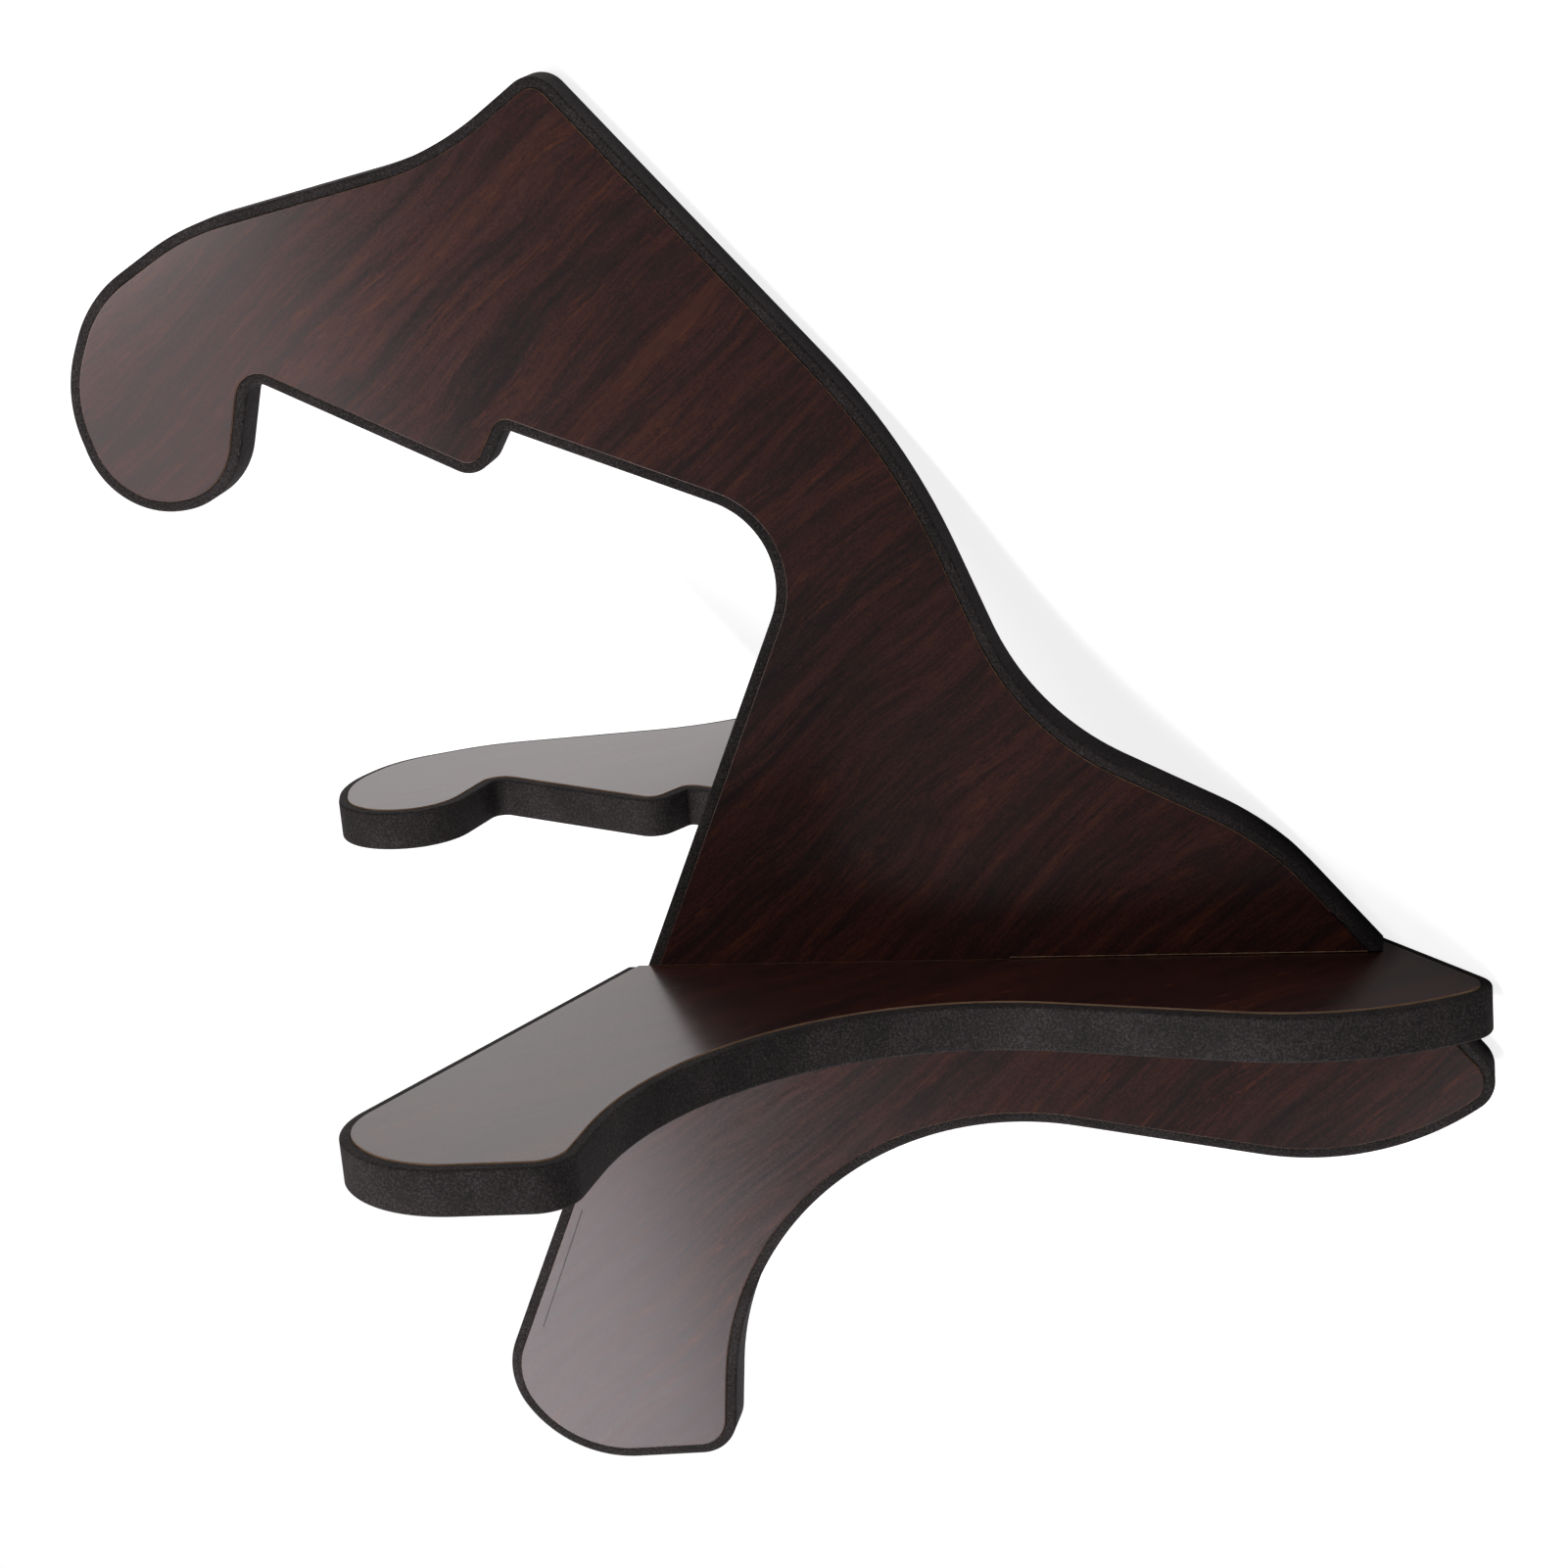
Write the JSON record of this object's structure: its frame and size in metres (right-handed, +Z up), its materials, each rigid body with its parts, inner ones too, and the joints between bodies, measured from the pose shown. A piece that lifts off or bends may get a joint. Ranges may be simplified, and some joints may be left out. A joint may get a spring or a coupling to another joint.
{
  "type": "guitar stand",
  "caption": "Take-apart guitar stand: mirrored walnut-faced boards slotted together at right angles, each with a hooked seat, a back-rest arm and black foam edging.",
  "frame": {"origin": "on the floor under the centre of the bounding box, in the plane of symmetry", "axes": "+Z up, -Y towards the front, where the guitar faces, +X to the right of a person who looks at the front"},
  "size_m": [0.345, 0.3712, 0.23],
  "materials": {
    "walnut_laminate": "dark walnut printed laminate, satin",
    "fibreboard": "raw medium-density fibreboard",
    "foam": "matt black closed-cell foam"
  },
  "bodies": {
    "right_board": {"right_board_core": "fibreboard", "right_board_outer_laminate": "walnut_laminate", "right_board_inner_laminate": "walnut_laminate", "right_board_foam_edging": "foam"},
    "left_board": {"left_board_core": "fibreboard", "left_board_outer_laminate": "walnut_laminate", "left_board_inner_laminate": "walnut_laminate", "left_board_foam_edging": "foam"}
  },
  "joints": [
    {"name": "take_apart_slide", "type": "slide", "parent": "right_board", "child": "left_board", "axis": [0, -0.7647, 0.6444], "range_m": [0, 0.105]}
  ]
}
